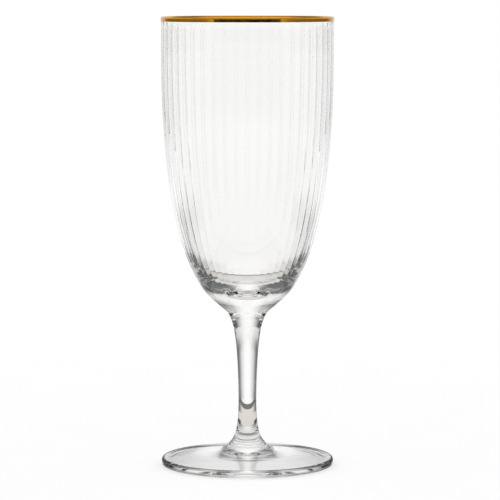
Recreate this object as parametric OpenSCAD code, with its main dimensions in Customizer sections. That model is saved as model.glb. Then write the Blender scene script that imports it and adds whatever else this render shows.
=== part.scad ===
// Water goblet: an optic-ribbed glass bowl on a drawn stem and a disc foot, with a fired gold rim.
// Millimetres, +Z up, origin at the centre of the ring that the foot stands on.

/* [Bowl] */
// Height of the bowl, from the stem joint to the top of the gold rim
bowl_h = 132.8; // [118:0.2:148]
// Outside diameter of the glass at the rim
rim_d = 74.6; // [66:0.2:84]
// Height of the straight wall below the rim
rim_straight_h = 7.8; // [6:0.2:14]
// Height of the bowl curve's lowest point above the stem joint
bowl_seat_h = 5.2; // [4.6:0.1:6]
// Fullness of the bowl's curve: 2 is an ellipse, more is squarer
bowl_fullness = 2.5; // [2.35:0.05:2.65]
// Wall thickness at the rim
wall_t = 1.3; // [1:0.1:1.8]
// Wall thickness where the wall turns into the base
base_wall_t = 3.1; // [2.6:0.1:3.8]
// Height of that turn above the stem joint
base_turn_h = 33; // [30:0.5:36]
// Thickness of the solid glass from the stem joint to the inside of the bowl
base_t = 14.1; // [12:0.1:16]

/* [Optic ribs] */
// Number of ribs around the inside of the bowl
rib_count = 48; // [32:2:56]
// Height of a rib's crest over the valleys beside it
rib_depth = 0.2; // [0.1:0.02:0.3]
// Fullness of a rib's section: 2 is a parabola, more is flatter
rib_fullness = 3; // [2:0.5:6]
// Distance from the gold's lower edge inside down to the ribs' upper ends
rib_gap_h = 1; // [0.6:0.2:3]
// Height above the stem joint at which the ribs reach their full depth
rib_full_h = 64; // [50:1:80]

/* [Stem] */
// Length of the stem between its two joints
stem_l = 50; // [40:1:62]
// Diameter of the stem at the bowl joint
stem_top_d = 13; // [12.2:0.1:13.8]
// Diameter of the stem at its waist
waist_d = 7.8; // [7:0.1:9]
// Height of the waist above the foot joint
waist_h = 16.2; // [13:0.2:20]
// Diameter of the stem at the foot joint
stem_foot_d = 12.2; // [11.2:0.1:13.2]

/* [Foot] */
// Diameter of the foot
foot_d = 74.6; // [66:0.2:84]
// Thickness of the foot's edge
foot_edge_t = 3.5; // [3:0.1:4.2]
// Height of the foot's top where the boss begins
foot_rise_h = 6.8; // [6:0.1:7.6]
// Diameter of the boss where it leaves the foot's top
boss_d = 24; // [21:0.5:27]
// Height of the stem joint above the table
foot_h = 12; // [11:0.5:13.5]
// Width of the flat ring that the foot stands on
rest_w = 1; // [0.8:0.1:2]
// Depth of the hollow under the foot
hollow_h = 3.6; // [3:0.1:4.2]

/* [Gold rim] */
// Height of the gold band on the outside
gold_h = 2.1; // [1.2:0.1:3]
// Height of the gold band on the inside
gold_in_h = 1.6; // [1.1:0.1:2.6]
// Thickness of the gold
gold_t = 0.1; // [0.06:0.02:0.2]

/* [Hidden] */
$fn = 96;

glass_colour = [0.92, 0.94, 0.93];
gold_colour = [0.72, 0.45, 0.10];

// Heights of the joints and of the rim
foot_joint_z = foot_h;
bowl_joint_z = foot_h + stem_l;
top_z = bowl_joint_z + bowl_h;
crown_z = top_z - gold_t - wall_t / 2;

// Radii
rim_r = rim_d / 2;
rim_in_r = rim_r - wall_t;
foot_r = foot_d / 2;
waist_r = waist_d / 2;
stem_top_r = stem_top_d / 2;
stem_foot_r = stem_foot_d / 2;

// The outlines' slopes, as radius gained per height, where the stem meets its neighbours
neck_slope = 0.33;
boss_slope = 0.55;

// Points along each curve of an outline
curve_steps = 16;
bowl_steps = 30;
crown_steps = 10;
edge_steps = 6;

function arc(centre, radius, from, to, steps) =
    [for (i = [0:steps]) let (a = from + (to - from) * i / steps) centre + radius * [cos(a), sin(a)]];

function cubic_point(p, t) =
    let (s = 1 - t) s * s * s * p[0] + 3 * s * s * t * p[1] + 3 * s * t * t * p[2] + t * t * t * p[3];

function cubic(p, steps) = [for (i = [0:steps]) cubic_point(p, i / steps)];

// Runs smoothly from 0 to 1 as x goes from one height to another
function ease(x, from, to) =
    let (t = min(1, max(0, (x - from) / (to - from)))) t * t * (3 - 2 * t);

// The bowl's outside is a superellipse from the straight wall down, with a concave neck below it
curve_top_z = top_z - rim_straight_h;
curve_h = bowl_h - rim_straight_h - bowl_seat_h;
neck_angle = 70;

function bowl_point(a) =
    [rim_r * pow(cos(a), 2 / bowl_fullness), curve_top_z - curve_h * pow(sin(a), 2 / bowl_fullness)];

function bowl_r(z) =
    let (u = max(0, (curve_top_z - z) / curve_h))
    rim_r * pow(1 - pow(u, bowl_fullness), 1 / bowl_fullness);

neck_top = bowl_point(neck_angle);
neck_top_slope = rim_r / curve_h * pow(tan(neck_angle), 2 - 2 / bowl_fullness);
neck_h = neck_top[1] - bowl_joint_z;
neck_low_share = 0.56;
neck_high_share = 0.6;
neck_low_reach = neck_low_share * neck_h;
neck_high_reach = neck_high_share * neck_h;

function neck_outline() =
    let (start = [stem_top_r, bowl_joint_z])
    cubic([start, start + neck_low_reach * [neck_slope, 1],
           neck_top - neck_high_reach * [neck_top_slope, 1], neck_top], curve_steps);

function bowl_outline() =
    [for (i = [1:bowl_steps]) bowl_point(neck_angle * (1 - i / bowl_steps))];

// The inside: a straight lip, a wall that thickens downwards, and a rounded bottom
lip_floor_z = top_z - gold_in_h - rib_gap_h;
lip_ledge = 0.02;
lip_overlap = 0.5;
turn_z = bowl_joint_z + base_turn_h;
bottom_z = bowl_joint_z + base_t;
wall_growth = 2.7;
wall_steps = 9;
bottom_steps = 9;

function wall_at(z) =
    let (t = max(0, (lip_floor_z - z) / (lip_floor_z - turn_z)))
    wall_t + lip_ledge + (base_wall_t - wall_t) * pow(t, wall_growth);

function inside_r(z) = bowl_r(z) - wall_at(z);

turn_r = inside_r(turn_z);
slope_step = 0.05;
turn_slope = (inside_r(turn_z + slope_step) - inside_r(turn_z - slope_step)) / (2 * slope_step);
turn_share = 0.73;
bottom_share = 0.445;
turn_reach = turn_share * (turn_z - bottom_z);
bottom_reach = bottom_share * turn_r;

function inside_outline() = concat(
    [for (i = [0:wall_steps])
        let (z = lip_floor_z + lip_overlap + (turn_z - lip_floor_z - lip_overlap) * i / wall_steps)
        [inside_r(z), z]],
    [for (i = [1:bottom_steps - 1])
        cubic_point([[turn_r, turn_z], [turn_r, turn_z] - turn_reach * [turn_slope, 1],
                     [bottom_reach, bottom_z], [0, bottom_z]], i / bottom_steps)]);

// Share of the full rib depth at a height: the ribs fade out under the lip and into the base
rib_fade_h = 1.5;

function rib_share(z) =
    ease(lip_floor_z - z, 0, rib_fade_h) * ease(z, bottom_z, bowl_joint_z + rib_full_h);

// Each rib is a low rounded ridge: the valley beside it, then a point on each flank and one on its crest
rib_stations = [0, 0.2, 0.5, 0.8];
rib_points = len(rib_stations);
around = rib_points * rib_count;

function rib_rise(station) = 1 - pow(abs(1 - 2 * station), rib_fullness);

function ring(p) =
    let (depth = rib_depth * rib_share(p[1]))
    [for (rib = [0:rib_count - 1], station = rib_stations)
        let (a = 360 * (rib + station) / rib_count, r = p[0] - depth * rib_rise(station))
        [r * cos(a), r * sin(a), p[1]]];

// The space inside the bowl, as one closed shape of rings from the lip to the bottom
module cavity() {
    rings = inside_outline();
    last = len(rings) - 1;
    points = concat([for (p = rings) each ring(p)], [[0, 0, bottom_z]]);
    lid = [for (k = [around - 1:-1:0]) k];
    sides = [for (i = [0:last - 1], k = [0:around - 1])
        let (a = i * around + k, b = i * around + (k + 1) % around)
        each [[a, b, b + around], [a, b + around, a + around]]];
    bottom = [for (k = [0:around - 1])
        [last * around + k, last * around + (k + 1) % around, len(points) - 1]];
    polyhedron(points, concat([lid], sides, bottom));
}

module bowl() {
    color(glass_colour)
    difference() {
        rotate_extrude()
        polygon(concat(
            [[0, bowl_joint_z]],
            neck_outline(),
            bowl_outline(),
            arc([rim_r - wall_t / 2, crown_z], wall_t / 2, 0, 180, crown_steps),
            [[rim_in_r, lip_floor_z], [0, lip_floor_z]]));
        cavity();
    }
}

// The stem swells from its waist to both joints
waist = [waist_r, foot_joint_z + waist_h];
waist_up_share = 0.17;
waist_down_share = 0.3;
top_share = 0.2;
foot_share = 0.23;
waist_reach_up = waist_up_share * (stem_l - waist_h);
waist_reach_down = waist_down_share * waist_h;
top_reach = top_share * (stem_l - waist_h);
foot_reach = foot_share * waist_h;

module stem() {
    low = [stem_foot_r, foot_joint_z];
    high = [stem_top_r, bowl_joint_z];
    lower = cubic([low, low + foot_reach * [-boss_slope, 1], waist - [0, waist_reach_down], waist], curve_steps);
    upper = cubic([waist, waist + [0, waist_reach_up], high - top_reach * [neck_slope, 1], high], curve_steps);
    color(glass_colour)
    rotate_extrude()
    polygon(concat([[0, foot_joint_z]], lower, [for (i = [1:curve_steps]) upper[i]], [[0, bowl_joint_z]]));
}

// The foot is a disc with rounded edges, a top that rises to the boss, and a hollow underneath
foot_low_round = 1.4;
foot_high_round = 1.2;
boss_r = boss_d / 2;
rest_out_r = foot_r - foot_low_round;
rest_in_r = rest_out_r - rest_w;
hollow_r = (rest_in_r * rest_in_r + hollow_h * hollow_h) / (2 * hollow_h);
hollow_angle = asin(rest_in_r / hollow_r);
top_run = foot_r - foot_high_round - boss_r;
top_angle = atan2(foot_rise_h - foot_edge_t, top_run);
boss_out_reach = 1.8;
boss_up_reach = 1.8;

module foot() {
    low = [boss_r, foot_rise_h];
    high = [stem_foot_r, foot_joint_z];
    boss = cubic([low, low + boss_out_reach * [-1, tan(top_angle)],
                  high + boss_up_reach * [boss_slope, -1], high], curve_steps);
    color(glass_colour)
    rotate_extrude()
    polygon(concat(
        arc([0, hollow_h - hollow_r], hollow_r, 90, 90 - hollow_angle, curve_steps),
        arc([rest_out_r, foot_low_round], foot_low_round, -90, 0, edge_steps),
        arc([foot_r - foot_high_round, foot_edge_t - foot_high_round], foot_high_round,
            0, 90 - top_angle, edge_steps),
        boss,
        [[0, foot_joint_z]]));
}

// The gold lies over the crown of the rim and a little way down both sides
module gold_rim() {
    centre = [rim_r - wall_t / 2, crown_z];
    color(gold_colour)
    rotate_extrude()
    polygon(concat(
        [[rim_r, top_z - gold_h], [rim_r + gold_t, top_z - gold_h]],
        arc(centre, wall_t / 2 + gold_t, 0, 180, crown_steps),
        [[rim_in_r - gold_t, top_z - gold_in_h], [rim_in_r, top_z - gold_in_h]],
        arc(centre, wall_t / 2, 180, 0, crown_steps)));
}

bowl();
stem();
foot();
gold_rim();
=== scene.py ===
"""Water goblet: a clear bowl with fine ribs inside, a drawn stem, a disc foot and a fired gold rim.

Lengths are in millimetres and heights above the table until a mesh is made, which is in metres.
"""
import math

import bpy
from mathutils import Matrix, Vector


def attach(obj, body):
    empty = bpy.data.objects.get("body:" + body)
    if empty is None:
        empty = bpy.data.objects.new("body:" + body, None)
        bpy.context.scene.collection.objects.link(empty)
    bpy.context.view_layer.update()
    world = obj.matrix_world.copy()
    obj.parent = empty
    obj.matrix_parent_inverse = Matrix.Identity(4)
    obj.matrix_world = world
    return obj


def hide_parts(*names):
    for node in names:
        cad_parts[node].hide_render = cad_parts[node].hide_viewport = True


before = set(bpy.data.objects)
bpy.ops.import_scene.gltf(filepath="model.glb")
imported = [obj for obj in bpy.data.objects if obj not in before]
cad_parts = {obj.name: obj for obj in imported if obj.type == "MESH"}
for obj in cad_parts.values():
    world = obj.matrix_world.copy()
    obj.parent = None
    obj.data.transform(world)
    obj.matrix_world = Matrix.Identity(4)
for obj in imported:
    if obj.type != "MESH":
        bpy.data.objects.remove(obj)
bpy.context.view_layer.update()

MM = 0.001
TINY = 1e-9

# Joints and rim
FOOT_JOINT_Z = 12.0
BOWL_JOINT_Z = 62.0
TOP_Z = 194.8
GOLD_T = 0.1

# Bowl
RIM_R = 37.3
WALL_T = 1.3
STRAIGHT_H = 7.8
SEAT_H = 5.2
FULLNESS = 2.5
NECK_ANGLE = 70.0
NECK_SLOPE = 0.33
NECK_LOW_SHARE = 0.56
NECK_HIGH_SHARE = 0.6
LIP_H = 2.6
BASE_WALL_T = 3.1
TURN_Z = BOWL_JOINT_Z + 33.0
BOTTOM_Z = BOWL_JOINT_Z + 14.1
WALL_GROWTH = 2.7
TURN_SHARE = 0.73
BOTTOM_SHARE = 0.445
CROWN_Z = TOP_Z - GOLD_T - WALL_T / 2
CURVE_TOP_Z = TOP_Z - STRAIGHT_H
CURVE_H = CURVE_TOP_Z - BOWL_JOINT_Z - SEAT_H

# Ribs
RIB_COUNT = 48
RIB_DEPTH = 0.2
RIB_FULL_Z = BOWL_JOINT_Z + 64.0
RIB_FADE_H = 1.5
RIB_FULLNESS = 3.0
RIB_STEPS = (0.0, 0.03, 0.085, 0.17, 0.31, 0.5, 0.69, 0.83, 0.915, 0.97)

# Stem
STEM_TOP_R = 6.5
WAIST_R = 3.9
WAIST_Z = FOOT_JOINT_Z + 16.2
STEM_FOOT_R = 6.1
BOSS_SLOPE = 0.55
LOW_START_SHARE = 0.23
LOW_END_SHARE = 0.3
HIGH_START_SHARE = 0.17
HIGH_END_SHARE = 0.2

# Foot
FOOT_R = 37.3
EDGE_T = 3.5
RISE_H = 6.8
BOSS_R = 12.0
REST_W = 1.0
HOLLOW_H = 3.6
LOW_ROUND = 1.4
HIGH_ROUND = 1.2
BOSS_REACH = 1.8

# Gold
GOLD_H = 2.1
GOLD_IN_H = 1.6
GOLD_SINK = 0.02

# Steps along each curve
NECK_STEPS = 28
CURVE_STEPS = 62
CROWN_STEPS = 10
WALL_STEPS = 54
BOTTOM_STEPS = 44
STEM_LOW_STEPS = 24
STEM_HIGH_STEPS = 32
HOLLOW_STEPS = 24
EDGE_STEPS = 12
SLOPE_STEPS = 12
BOSS_STEPS = 20
GOLD_ROUND_STEPS = 24
GOLD_FACE_STEPS = 6
SHARP_ANGLE = 40.0
SLOPE_GAP = 0.05

# Spans of a mottling that are used
SPREAD_LOW, SPREAD_HIGH = 0.3, 0.7
BLEND_LOW, BLEND_HIGH = 0.35, 0.65

# Stage, in metres
FLOOR_HALF = 6.0
FLOOR_Z = -0.0002
FLOOR_GLOW = 0.55
CAMERA_AT = 0, -1.20348, 0.20809
CAMERA_AIM = 0.00112, 0, 0.09384
CAMERA_LENS_MM = 200.71
CAMERA_SENSOR_MM = 36


def smooth(x, low, high):
    t = min(1.0, max(0.0, (x - low) / (high - low)))
    return t * t * (3 - 2 * t)


def cubic(a, b, c, d, steps):
    points = []
    for i in range(steps + 1):
        t = i / steps
        s = 1 - t
        weights = (s * s * s, 3 * s * s * t, 3 * s * t * t, t * t * t)
        points.append(tuple(sum(w * p[k] for w, p in zip(weights, (a, b, c, d))) for k in (0, 1)))
    return points


def arc(centre, radius, start, end, steps):
    angles = [math.radians(start + (end - start) * i / steps) for i in range(steps + 1)]
    return [(centre[0] + radius * math.cos(a), centre[1] + radius * math.sin(a)) for a in angles]


def bowl_r(z):
    u = max(0.0, (CURVE_TOP_Z - z) / CURVE_H)
    return RIM_R * (1 - u ** FULLNESS) ** (1 / FULLNESS)


def bowl_point(angle):
    a = math.radians(angle)
    power = 2 / FULLNESS
    return RIM_R * math.cos(a) ** power, CURVE_TOP_Z - CURVE_H * math.sin(a) ** power


def inside_r(z):
    t = max(0.0, (TOP_Z - LIP_H - z) / (TOP_Z - LIP_H - TURN_Z))
    return bowl_r(z) - WALL_T - (BASE_WALL_T - WALL_T) * t ** WALL_GROWTH


def rib_share(z):
    return smooth(TOP_Z - LIP_H - z, 0, RIB_FADE_H) * smooth(z, BOTTOM_Z, RIB_FULL_Z)


def revolve(name, outline, seams=(), ribbed_from=None):
    """A closed solid of revolution from its outline, axis to axis or a closed ring.

    Faces whose two outline points both lie at a height in seams get the second material.
    """
    ring_shape = outline[0][0] > TINY
    points = outline + ([outline[0]] if ring_shape else [])
    verts, faces, marks, rings = [], [], [], []
    turn = []
    for rib in range(RIB_COUNT):
        for u in RIB_STEPS:
            angle = 2 * math.pi * (rib + u) / RIB_COUNT
            turn.append((math.cos(angle), math.sin(angle), 1 - abs(1 - 2 * u) ** RIB_FULLNESS))
    count = len(turn)
    for i, (r, z) in enumerate(points):
        if ring_shape and i == len(points) - 1:
            rings.append(rings[0])
            continue
        if r < TINY:
            rings.append([len(verts)])
            verts.append((0, 0, z * MM))
            continue
        depth = RIB_DEPTH * rib_share(z) if ribbed_from is not None and i >= ribbed_from else 0.0
        rings.append(list(range(len(verts), len(verts) + count)))
        for c, s, rise in turn:
            rr = r - depth * rise
            verts.append((rr * c * MM, rr * s * MM, z * MM))
    for i, (a, b) in enumerate(zip(rings, rings[1:])):
        za, zb = points[i][1], points[i + 1][1]
        mark = int(abs(za - zb) < TINY and any(abs(za - s) < TINY for s in seams))
        for k in range(count):
            n = (k + 1) % count
            if len(a) == 1:
                faces.append((a[0], b[n], b[k]))
            elif len(b) == 1:
                faces.append((a[k], a[n], b[0]))
            else:
                faces.append((a[k], a[n], b[n], b[k]))
            marks.append(mark)
    mesh = bpy.data.meshes.new(name)
    mesh.from_pydata(verts, [], faces)
    mesh.polygons.foreach_set("use_smooth", [True] * len(faces))
    mesh.polygons.foreach_set("material_index", marks)
    mesh.update()
    mesh.set_sharp_from_angle(angle=math.radians(SHARP_ANGLE))
    obj = bpy.data.objects.new(name, mesh)
    bpy.context.scene.collection.objects.link(obj)
    return obj


def bowl_outline():
    top = bowl_point(NECK_ANGLE)
    slope = RIM_R / CURVE_H * math.tan(math.radians(NECK_ANGLE)) ** (2 - 2 / FULLNESS)
    neck_h = top[1] - BOWL_JOINT_Z
    low, high = NECK_LOW_SHARE * neck_h, NECK_HIGH_SHARE * neck_h
    start = (STEM_TOP_R, BOWL_JOINT_Z)
    neck = cubic(start, (start[0] + low * NECK_SLOPE, start[1] + low),
                 (top[0] - high * slope, top[1] - high), top, NECK_STEPS)
    curve = [bowl_point(NECK_ANGLE * (1 - i / CURVE_STEPS)) for i in range(1, CURVE_STEPS + 1)]
    crown = arc((RIM_R - WALL_T / 2, CROWN_Z), WALL_T / 2, 0, 180, CROWN_STEPS)
    outer = [(0.0, BOWL_JOINT_Z)] + neck + curve + crown
    lip_z = TOP_Z - LIP_H
    wall = [lip_z + (TURN_Z - lip_z) * i / WALL_STEPS for i in range(WALL_STEPS + 1)]
    turn_r = inside_r(TURN_Z)
    turn_slope = (inside_r(TURN_Z + SLOPE_GAP) - inside_r(TURN_Z - SLOPE_GAP)) / (2 * SLOPE_GAP)
    reach = TURN_SHARE * (TURN_Z - BOTTOM_Z)
    bottom = cubic((turn_r, TURN_Z), (turn_r - reach * turn_slope, TURN_Z - reach),
                   (BOTTOM_SHARE * turn_r, BOTTOM_Z), (0.0, BOTTOM_Z), BOTTOM_STEPS)
    inner = [(inside_r(z), z) for z in wall] + bottom[1:]
    return outer + inner, len(outer)


def stem_outline():
    low, high, waist = (STEM_FOOT_R, FOOT_JOINT_Z), (STEM_TOP_R, BOWL_JOINT_Z), (WAIST_R, WAIST_Z)
    upper_h, lower_h = BOWL_JOINT_Z - WAIST_Z, WAIST_Z - FOOT_JOINT_Z
    a, b = LOW_START_SHARE * lower_h, LOW_END_SHARE * lower_h
    c, d = HIGH_START_SHARE * upper_h, HIGH_END_SHARE * upper_h
    lower = cubic(low, (low[0] - a * BOSS_SLOPE, low[1] + a), (waist[0], waist[1] - b), waist, STEM_LOW_STEPS)
    upper = cubic(waist, (waist[0], waist[1] + c), (high[0] - d * NECK_SLOPE, high[1] - d),
                  high, STEM_HIGH_STEPS)
    return [(0.0, FOOT_JOINT_Z)] + lower + upper[1:] + [(0.0, BOWL_JOINT_Z)]


def foot_outline():
    rest_out = FOOT_R - LOW_ROUND
    rest_in = rest_out - REST_W
    hollow_r = (rest_in ** 2 + HOLLOW_H ** 2) / (2 * HOLLOW_H)
    hollow_angle = math.degrees(math.asin(rest_in / hollow_r))
    hollow = arc((0.0, HOLLOW_H - hollow_r), hollow_r, 90, 90 - hollow_angle, HOLLOW_STEPS)
    hollow[0] = (0.0, HOLLOW_H)
    hollow[-1] = (rest_in, 0.0)
    top_angle = math.atan2(RISE_H - EDGE_T, FOOT_R - HIGH_ROUND - BOSS_R)
    low = arc((rest_out, LOW_ROUND), LOW_ROUND, -90, 0, EDGE_STEPS)
    high_end = 90 - math.degrees(top_angle)
    high = arc((FOOT_R - HIGH_ROUND, EDGE_T - HIGH_ROUND), HIGH_ROUND, 0, high_end, EDGE_STEPS)
    start, end = (BOSS_R, RISE_H), (STEM_FOOT_R, FOOT_JOINT_Z)
    boss = cubic(start, (start[0] - BOSS_REACH, start[1] + BOSS_REACH * math.tan(top_angle)),
                 (end[0] + BOSS_REACH * BOSS_SLOPE, end[1] - BOSS_REACH), end, BOSS_STEPS)
    edge = high[-1]
    run, rise = (start[0] - edge[0]) / SLOPE_STEPS, (start[1] - edge[1]) / SLOPE_STEPS
    slope = [(edge[0] + run * i, edge[1] + rise * i) for i in range(1, SLOPE_STEPS)]
    return hollow + low + high + slope + boss + [(0.0, FOOT_JOINT_Z)]


def gold_outline():
    centre = (RIM_R - WALL_T / 2, CROWN_Z)
    half = WALL_T / 2
    outside = arc(centre, half + GOLD_T, 0, 180, GOLD_ROUND_STEPS)
    inside = arc(centre, half - GOLD_SINK, 180, 0, GOLD_ROUND_STEPS)
    low, high = TOP_Z - GOLD_H, CROWN_Z
    face = [(RIM_R + GOLD_T, low + (high - low) * i / GOLD_FACE_STEPS) for i in range(GOLD_FACE_STEPS)]
    return ([(RIM_R - GOLD_SINK, low)] + face + outside
            + [(RIM_R - WALL_T - GOLD_T, TOP_Z - GOLD_IN_H), (RIM_R - WALL_T + GOLD_SINK, TOP_Z - GOLD_IN_H)]
            + inside)


def new_material(name):
    mat = bpy.data.materials.new(name)
    mat.use_nodes = True
    return mat, mat.node_tree, mat.node_tree.nodes["Principled BSDF"]


def noise(tree, scale, detail, stretch=(1, 1, 1)):
    """Fine mottling over the object, scale per metre."""
    place = tree.nodes.new("ShaderNodeTexCoord")
    sizing = tree.nodes.new("ShaderNodeMapping")
    sizing.inputs["Scale"].default_value = stretch
    spots = tree.nodes.new("ShaderNodeTexNoise")
    spots.inputs["Scale"].default_value = scale
    spots.inputs["Detail"].default_value = detail
    tree.links.new(place.outputs["Object"], sizing.inputs["Vector"])
    tree.links.new(sizing.outputs["Vector"], spots.inputs["Vector"])
    return spots.outputs["Fac"]


def spread(tree, value, low, high, target):
    """Sends a mottling on as values from low to high."""
    span = tree.nodes.new("ShaderNodeMapRange")
    span.inputs["From Min"].default_value = SPREAD_LOW
    span.inputs["From Max"].default_value = SPREAD_HIGH
    span.inputs["To Min"].default_value = low
    span.inputs["To Max"].default_value = high
    tree.links.new(value, span.inputs["Value"])
    tree.links.new(span.outputs["Result"], target)


def blend(tree, value, one, other, target):
    """Sends a mottling on as colours between two."""
    ramp = tree.nodes.new("ShaderNodeValToRGB")
    ramp.color_ramp.elements[0].position = BLEND_LOW
    ramp.color_ramp.elements[0].color = one + (1,)
    ramp.color_ramp.elements[1].position = BLEND_HIGH
    ramp.color_ramp.elements[1].color = other + (1,)
    tree.links.new(value, ramp.inputs["Fac"])
    tree.links.new(ramp.outputs["Color"], target)


def relief(tree, value, height, target):
    """Sends a mottling on as a relief of that height in metres."""
    bump = tree.nodes.new("ShaderNodeBump")
    bump.inputs["Strength"].default_value = 1.0
    bump.inputs["Distance"].default_value = height
    tree.links.new(value, bump.inputs["Height"])
    tree.links.new(bump.outputs["Normal"], target)


def glass():
    """Clear soda glass with the faint waves and haze that pressing and polishing leave."""
    mat, tree, shader = new_material("clear_glass")
    blend(tree, noise(tree, 40, 2), (0.999, 0.998, 0.993), (0.997, 0.995, 0.989), shader.inputs["Base Color"])
    spread(tree, noise(tree, 90, 3), 0.0, 0.005, shader.inputs["Roughness"])
    relief(tree, noise(tree, 220, 1, (1, 1, 1.4)), 0.000002, shader.inputs["Normal"])
    shader.inputs["IOR"].default_value = 1.5
    shader.inputs["Transmission Weight"].default_value = 1.0
    return mat


def seam():
    """Where two glass pieces are fused, light goes straight on."""
    mat, _, shader = new_material("fused_seam")
    shader.inputs["Alpha"].default_value = 0.0
    return mat


def gold():
    """Bright gold, brushed on and fired, so its film is a little uneven."""
    mat, tree, shader = new_material("fired_gold")
    blend(tree, noise(tree, 300, 3), (0.80, 0.36, 0.02), (0.84, 0.41, 0.05), shader.inputs["Base Color"])
    spread(tree, noise(tree, 500, 3, (1, 1, 3)), 0.03, 0.12, shader.inputs["Roughness"])
    relief(tree, noise(tree, 700, 2, (1, 1, 2)), 0.000004, shader.inputs["Normal"])
    shader.inputs["Metallic"].default_value = 1.0
    return mat


def dress(obj, slot, node, *materials):
    for mat in materials:
        obj.data.materials.append(mat)
    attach(obj, "root")
    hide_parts(node)


clear, fused = glass(), seam()
outline, inside_from = bowl_outline()
bowl = revolve("bowl_glass", outline, (BOWL_JOINT_Z,), inside_from)
stem = revolve("stem_glass", stem_outline(), (FOOT_JOINT_Z, BOWL_JOINT_Z))
foot = revolve("foot_glass", foot_outline(), (FOOT_JOINT_Z,))
band = revolve("gold_band", gold_outline())
dress(bowl, "clear_glass", "bowl", clear, fused)
dress(stem, "clear_glass", "stem", clear, fused)
dress(foot, "clear_glass", "foot", clear, fused)
dress(band, "fired_gold", "gold_rim", gold())


def stage_mesh(name, verts, faces, mat):
    mesh = bpy.data.meshes.new(name)
    mesh.from_pydata(verts, [], faces)
    mesh.materials.append(mat)
    obj = bpy.data.objects.new(name, mesh)
    bpy.context.scene.collection.objects.link(obj)
    return obj


def floor():
    mat, tree, shader = new_material("pale_floor")
    blend(tree, noise(tree, 25, 4), (0.447, 0.447, 0.447), (0.453, 0.453, 0.453), shader.inputs["Base Color"])
    spread(tree, noise(tree, 60, 3), 0.9, 1.0, shader.inputs["Roughness"])
    shader.inputs["Specular IOR Level"].default_value = 0.0
    shader.inputs["Emission Color"].default_value = (1, 1, 1, 1)
    shader.inputs["Emission Strength"].default_value = FLOOR_GLOW
    s, z = FLOOR_HALF, FLOOR_Z
    stage_mesh("floor", [(-s, -s, z), (s, -s, z), (s, s, z), (-s, s, z)], [(0, 1, 2, 3)], mat)


def flag(name, outline, start, end, heights, level, colour=(1, 1, 1), sides=96, through=True):
    """A glowing card that curves round the goblet, faded at its edges, that only glass and metal show: a
    painted reflection, which the camera doesn't see and which casts no shadow.

    outline is its section, as radius and height in metres. start and end are pairs of angles from straight
    behind the goblet, and heights two pairs of heights, between which the card fades in and out. level is
    its brightness. Where through is false, it shows in reflections but not through the glass.
    """
    mat = bpy.data.materials.new(name)
    mat.use_nodes = True
    tree = mat.node_tree
    tree.nodes.clear()

    def node(kind, **values):
        made = tree.nodes.new(kind)
        for key, value in values.items():
            setattr(made, key, value)
        return made

    def wire(source, target):
        tree.links.new(source, target)

    place = node("ShaderNodeTexCoord")
    split = node("ShaderNodeSeparateXYZ")
    wire(place.outputs["Object"], split.inputs[0])
    angle = node("ShaderNodeMath", operation="ARCTAN2")
    wire(split.outputs["X"], angle.inputs[0])
    wire(split.outputs["Y"], angle.inputs[1])
    away = node("ShaderNodeMath", operation="ABSOLUTE")
    wire(angle.outputs[0], away.inputs[0])
    turned = [(away.outputs[0], math.radians(u), math.radians(v)) for u, v in (start, end)]
    risen = [(split.outputs["Z"], u, v) for u, v in heights]
    share = None
    for k, (value, low, high) in enumerate(turned + risen):
        fade = node("ShaderNodeMapRange", interpolation_type="SMOOTHSTEP")
        fade.inputs["From Min"].default_value = low
        fade.inputs["From Max"].default_value = high
        fade.inputs["To Min"].default_value = float(k % 2)
        fade.inputs["To Max"].default_value = float(1 - k % 2)
        wire(value, fade.inputs["Value"])
        if share is None:
            share = fade.outputs["Result"]
            continue
        product = node("ShaderNodeMath", operation="MULTIPLY")
        wire(share, product.inputs[0])
        wire(fade.outputs["Result"], product.inputs[1])
        share = product.outputs[0]
    dark = node("ShaderNodeEmission")
    dark.inputs["Color"].default_value = colour + (1,)
    dark.inputs["Strength"].default_value = level
    clear_part = node("ShaderNodeBsdfTransparent")
    mix = node("ShaderNodeMixShader")
    wire(share, mix.inputs[0])
    wire(clear_part.outputs[0], mix.inputs[1])
    wire(dark.outputs[0], mix.inputs[2])
    out = node("ShaderNodeOutputMaterial")
    wire(mix.outputs[0], out.inputs["Surface"])
    verts, faces = [], []
    for radius, z in outline:
        for k in range(sides):
            a = 2 * math.pi * (k + 0.5) / sides
            verts.append((radius * math.cos(a), radius * math.sin(a), z))
    for i in range(len(outline) - 1):
        for k in range(sides):
            n = (k + 1) % sides
            faces.append((i * sides + k, i * sides + n, (i + 1) * sides + n, (i + 1) * sides + k))
    obj = stage_mesh(name, verts, faces, mat)
    obj.visible_camera = False
    obj.visible_diffuse = False
    obj.visible_shadow = False
    obj.visible_volume_scatter = False
    obj.visible_transmission = through
    return obj


floor()
ALL_ROUND = (-2, -1), (181, 182)
ALL_HEIGHTS = (-1, 0), (1, 2)
TO_FRONT = 181, 182
FROM_BELOW = -1, 0

# Seen only in the glass, where the camera sees white floor: a pale beige mat round the foot, whose tint is
# partly the table's own and partly painted shade of the table near the goblet, with its dark back edge, and a
# dark disc of painted shade under the stem
flag("mat", ((0.0545, 0.0002), (0.184, 0.0002)), *ALL_ROUND, ALL_HEIGHTS, 0.72, (1, 0.955, 0.91), 4)
flag("mat_edge", ((0.184, 0.0002), (0.184, 0.0058)), *ALL_ROUND, ALL_HEIGHTS, 0.15, (1, 0.95, 0.88), 4)
flag("shade", ((0.0002, 0.0002), (0.012, 0.0008)), *ALL_ROUND, (FROM_BELOW, (0.0004, 0.0008)), 0.2)
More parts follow.
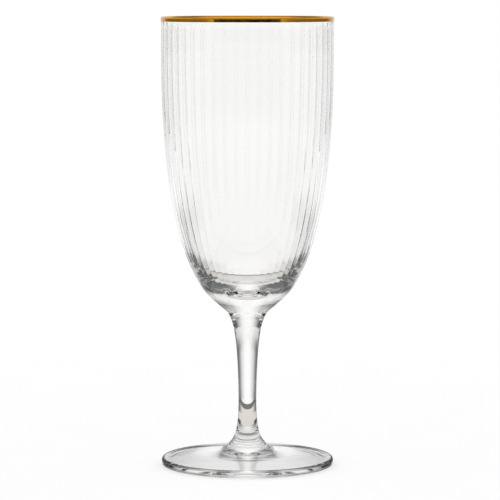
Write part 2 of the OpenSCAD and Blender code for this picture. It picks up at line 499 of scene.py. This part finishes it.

# Dark cards for the dark sides of the stem, the boss and the thick base, painted reflections seen only in the
# glass
flag("near_flag", ((0.10, 0.010), (0.10, 0.064)), (4, 48), (80, 110),
     ((0.010, 0.016), (0.050, 0.064)), 0.15)
flag("near_low_flag", ((0.101, 0.0005), (0.101, 0.022)), (18, 52), (80, 110),
     (FROM_BELOW, (0.016, 0.022)), 0.15)
flag("stem_flag", ((0.102, 0.050), (0.102, 0.078)), (42, 60), (80, 110),
     ((0.050, 0.060), (0.070, 0.078)), 0.15)
flag("side_flag", ((0.10, 0.066), (0.10, 0.102)), (48, 64), (104, 118),
     ((0.066, 0.072), (0.082, 0.102)), 0.10)

# Dark line round the foot's edge: a dark ring on the floor at the foot's edge, painted contact shadow, and a
# low dark card beside it, a painted reflection, both seen only in the glass
flag("foot_edge_shadow", ((0.0362, -0.0001), (0.05, 0.0010)), (8, 24), (160, 175),
     (FROM_BELOW, (0.0003, 0.0010)), 0.09)
flag("edge_flag", ((0.045, 0.0005), (0.045, 0.007)), (20, 36), (135, 160),
     (FROM_BELOW, (0.004, 0.007)), 0.02)

# Greys that the ribs and the bowl's sides pick up from far off, painted reflections seen only in the glass
# and gold
flag("low_flag", ((0.90, 0.0005), (0.90, 0.26)), (0, 36), TO_FRONT, ((0, 0.03), (0.17, 0.25)), 0.70)
flag("far_low_flag", ((0.905, 0.10), (0.905, 0.26)), (54, 70), TO_FRONT, ((0.12, 0.18), (0.21, 0.26)), 0.12)
flag("far_flag", ((0.91, 0.15), (0.91, 1.80)), (4, 42), TO_FRONT, ((0.17, 0.25), (1.3, 1.8)), 0.12)
flag("front_flag", ((0.80, 0.0005), (0.80, 0.80)), (115, 145), TO_FRONT, ((0, 0.10), (0.2, 0.4)), 0.50)

# What the gold reflects, painted reflections that the glass reflects too but doesn't let through: grey at its
# sides, a bright card for the crown's painted highlight, and a dark strip across its front
flag("rim_card", ((0.89, 0.15), (0.89, 0.22)), (32, 55), (125, 136),
     ((0.15, 0.16), (0.205, 0.22)), 0.22, through=False)
flag("crown_card", ((0.885, 0.21), (0.885, 0.75)), *ALL_ROUND,
     ((0.21, 0.23), (0.6, 0.75)), 0.8, through=False)
flag("strip_flag", ((0.78, 0.16), (0.78, 0.24)), (135, 138), TO_FRONT,
     ((0.165, 0.17), (0.22, 0.24)), 0.01, through=False)

world = bpy.data.worlds.new("studio")
bpy.context.scene.world = world
world.use_nodes = True
world.node_tree.nodes["Background"].inputs["Color"].default_value = (1, 1, 1, 1)
world.node_tree.nodes["Background"].inputs["Strength"].default_value = 1.0

lens = bpy.data.cameras.new("camera")
lens.lens = CAMERA_LENS_MM
lens.sensor_width = CAMERA_SENSOR_MM
lens.clip_end = 20
camera = bpy.data.objects.new("camera", lens)
bpy.context.scene.collection.objects.link(camera)
camera.location = CAMERA_AT
camera.rotation_euler = (Vector(CAMERA_AIM) - camera.location).to_track_quat("-Z", "Y").to_euler()
bpy.context.scene.camera = camera

scene = bpy.context.scene
scene.view_settings.view_transform = "Standard"
scene.cycles.max_bounces = 32
scene.cycles.transmission_bounces = 32
scene.cycles.glossy_bounces = 16
scene.cycles.transparent_max_bounces = 32
scene.cycles.blur_glossy = 0.0
